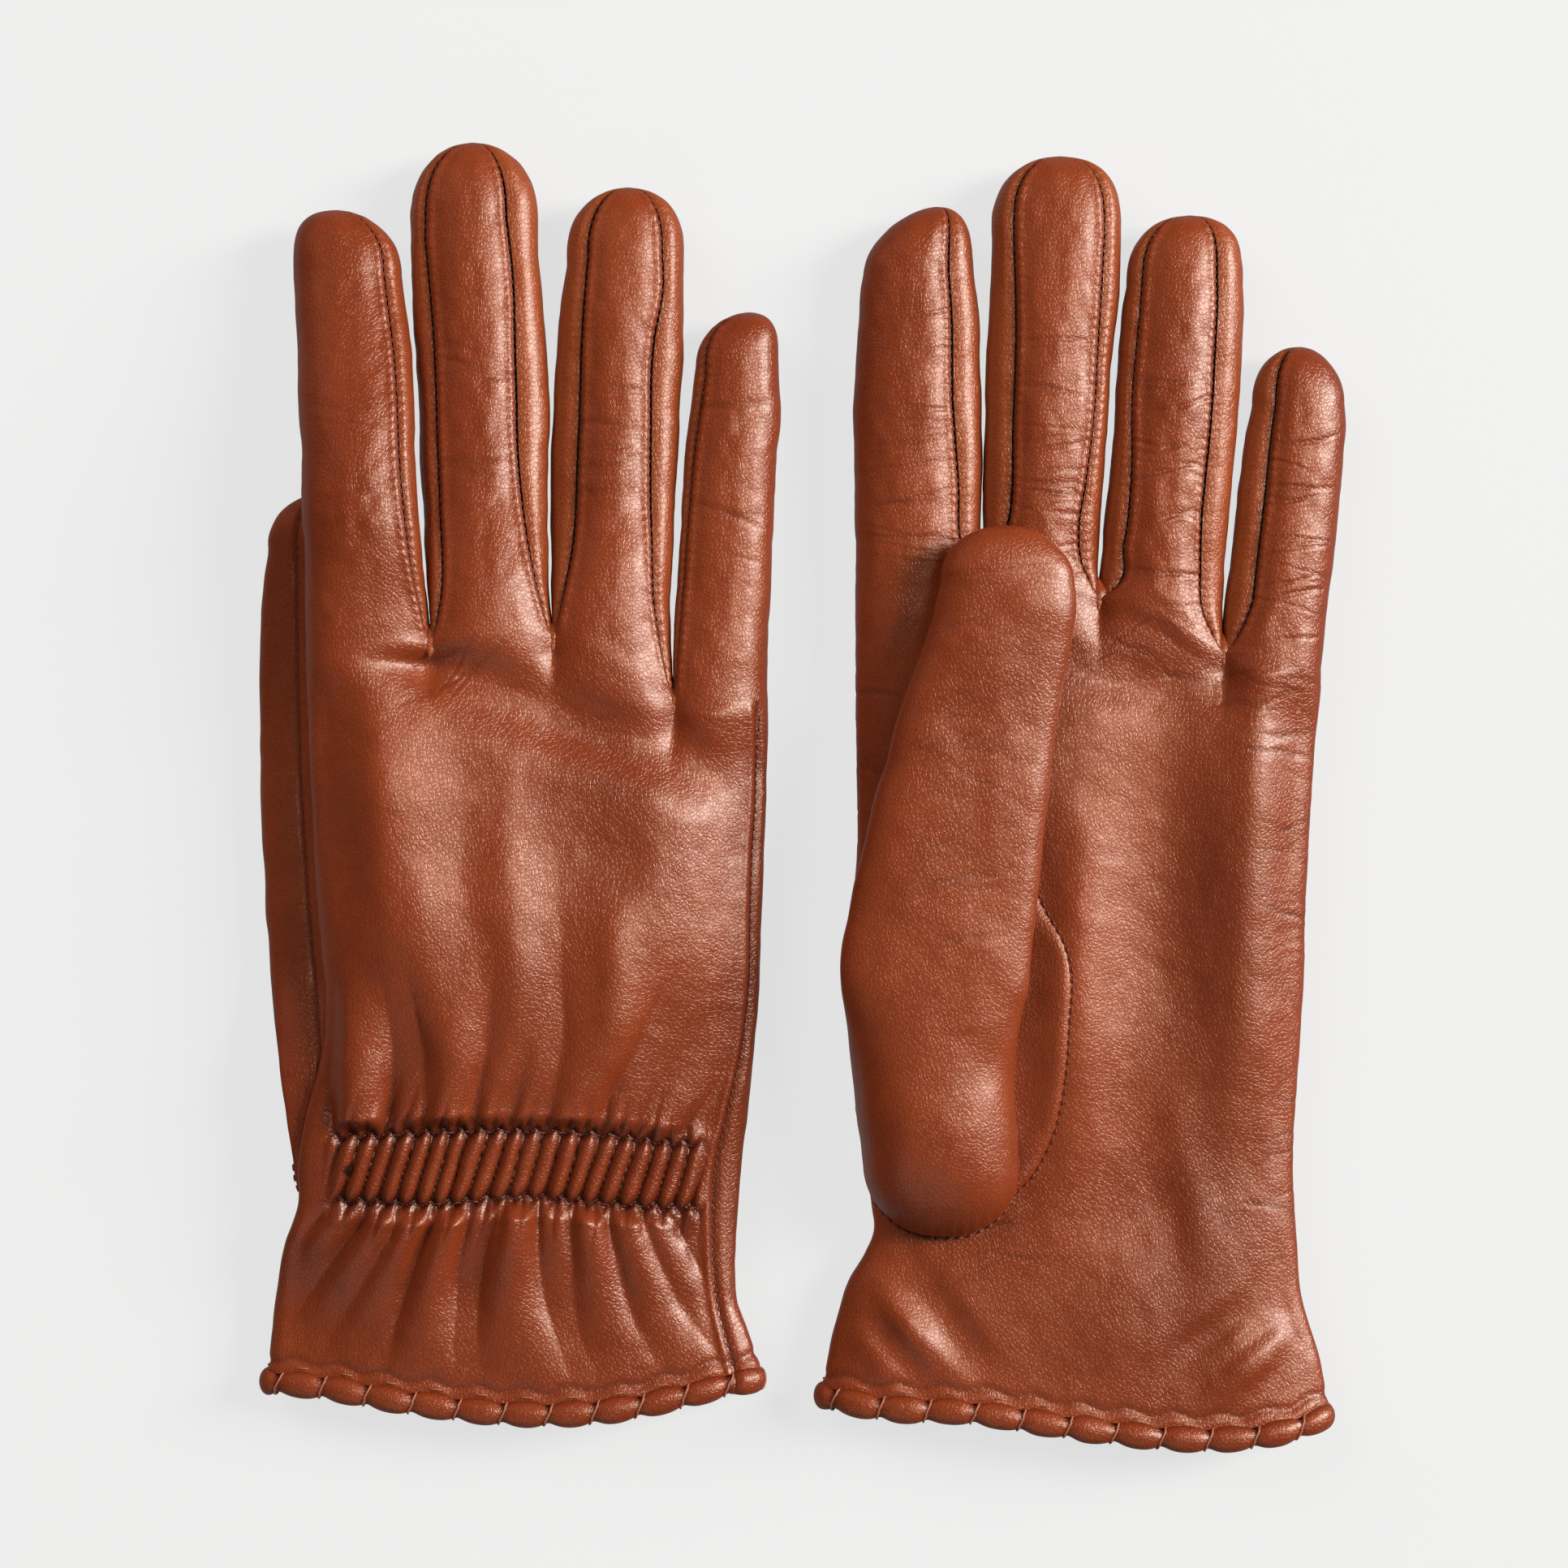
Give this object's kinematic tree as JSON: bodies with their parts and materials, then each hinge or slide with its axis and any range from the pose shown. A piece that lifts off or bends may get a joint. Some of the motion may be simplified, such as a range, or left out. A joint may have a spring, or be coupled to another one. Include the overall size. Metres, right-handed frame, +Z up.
{
  "type": "leather gloves",
  "caption": "Pair of lined leather gloves with gathered elastic wrists and rolled, laced cuff edges, lying flat, one back up and one palm up.",
  "frame": {"origin": "bottom centre of the pair as it lies, midway between the two gloves, on the table", "axes": "+X across the pair towards the left-hand glove, +Y towards the fingertips, +Z up from the table"},
  "size_m": [0.2026, 0.2458, 0.0245],
  "materials": {
    "leather": "satin, fine pebbled grain",
    "gusset_leather": "satin, fine pebbled grain",
    "lining": "brushed knit",
    "elastic": "woven",
    "thread": "twisted thread"
  },
  "bodies": {
    "right_hand": {"right_back_panel": "leather", "right_cuff_hem": "leather", "right_elastic_stitches": "thread", "right_hand_lining": "lining", "right_hem_stitches": "thread", "right_index_middle_fork": "gusset_leather", "right_middle_ring_fork": "gusset_leather", "right_palm_panel": "leather", "right_quirks": "gusset_leather", "right_ring_little_fork": "gusset_leather", "right_thumb_gusset": "leather", "right_wrist_elastic": "elastic"},
    "right_index_tip": {"right_index_finger": "leather", "right_index_side_strips": "gusset_leather", "right_index_lining": "lining"},
    "right_middle_tip": {"right_middle_finger": "leather", "right_middle_side_strips": "gusset_leather", "right_middle_lining": "lining"},
    "right_ring_tip": {"right_ring_finger": "leather", "right_ring_side_strips": "gusset_leather", "right_ring_lining": "lining"},
    "right_little_tip": {"right_little_finger": "leather", "right_little_side_strips": "gusset_leather", "right_little_lining": "lining"},
    "right_thumb_body": {"right_thumb": "leather", "right_thumb_lining": "lining"},
    "left_hand": {"left_back_panel": "leather", "left_cuff_hem": "leather", "left_elastic_stitches": "thread", "left_hand_lining": "lining", "left_hem_stitches": "thread", "left_index_middle_fork": "gusset_leather", "left_middle_ring_fork": "gusset_leather", "left_palm_panel": "leather", "left_quirks": "gusset_leather", "left_ring_little_fork": "gusset_leather", "left_thumb_gusset": "leather", "left_wrist_elastic": "elastic"},
    "left_index_tip": {"left_index_finger": "leather", "left_index_side_strips": "gusset_leather", "left_index_lining": "lining"},
    "left_middle_tip": {"left_middle_finger": "leather", "left_middle_side_strips": "gusset_leather", "left_middle_lining": "lining"},
    "left_ring_tip": {"left_ring_finger": "leather", "left_ring_side_strips": "gusset_leather", "left_ring_lining": "lining"},
    "left_little_tip": {"left_little_finger": "leather", "left_little_side_strips": "gusset_leather", "left_little_lining": "lining"},
    "left_thumb_body": {"left_thumb": "leather", "left_thumb_lining": "lining"}
  },
  "joints": [
    {"name": "left_glove_lift", "type": "slide", "parent": "right_hand", "child": "left_hand", "axis": [0, 0, 1], "range_m": [0, 0.15]},
    {"name": "right_index_bend", "type": "hinge", "parent": "right_hand", "child": "right_index_tip", "pos_m": [-0.08205, 0.06267, 0.01015], "axis": [-0.9974, -0.0719, 0], "range_deg": [0, 90]},
    {"name": "right_middle_bend", "type": "hinge", "parent": "right_hand", "child": "right_middle_tip", "pos_m": [-0.05894, 0.06894, 0.0016], "axis": [-0.9986, -0.0524, 0], "range_deg": [0, 90]},
    {"name": "right_ring_bend", "type": "hinge", "parent": "right_hand", "child": "right_ring_tip", "pos_m": [-0.03385, 0.06304, 0.0007], "axis": [-0.9997, 0.0235, 0], "range_deg": [0, 90]},
    {"name": "right_little_bend", "type": "hinge", "parent": "right_hand", "child": "right_little_tip", "pos_m": [-0.01275, 0.05106, 0.0005], "axis": [-0.9979, 0.0649, 0], "range_deg": [0, 90]},
    {"name": "right_thumb_spread", "type": "hinge", "parent": "right_hand", "child": "right_thumb_body", "pos_m": [-0.07915, -0.0594, 0.005], "axis": [0, 0, 1], "range_deg": [0, 45]},
    {"name": "left_index_bend", "type": "hinge", "parent": "left_hand", "child": "left_index_tip", "pos_m": [0.02225, 0.0581, 0.0143], "axis": [0.9997, -0.0247, 0], "range_deg": [0, 90]},
    {"name": "left_middle_bend", "type": "hinge", "parent": "left_hand", "child": "left_middle_tip", "pos_m": [0.04565, 0.0631, 0.0143], "axis": [0.9983, -0.058, 0], "range_deg": [0, 90]},
    {"name": "left_ring_bend", "type": "hinge", "parent": "left_hand", "child": "left_ring_tip", "pos_m": [0.06935, 0.0571, 0.0141], "axis": [0.9989, -0.0465, 0], "range_deg": [0, 90]},
    {"name": "left_little_bend", "type": "hinge", "parent": "left_hand", "child": "left_little_tip", "pos_m": [0.09015, 0.0451, 0.0131], "axis": [0.9963, -0.0855, 0], "range_deg": [0, 90]},
    {"name": "left_thumb_spread", "type": "hinge", "parent": "left_hand", "child": "left_thumb_body", "pos_m": [0.02655, -0.0654, 0.01975], "axis": [0, 0, 1], "range_deg": [0, 22]}
  ]
}
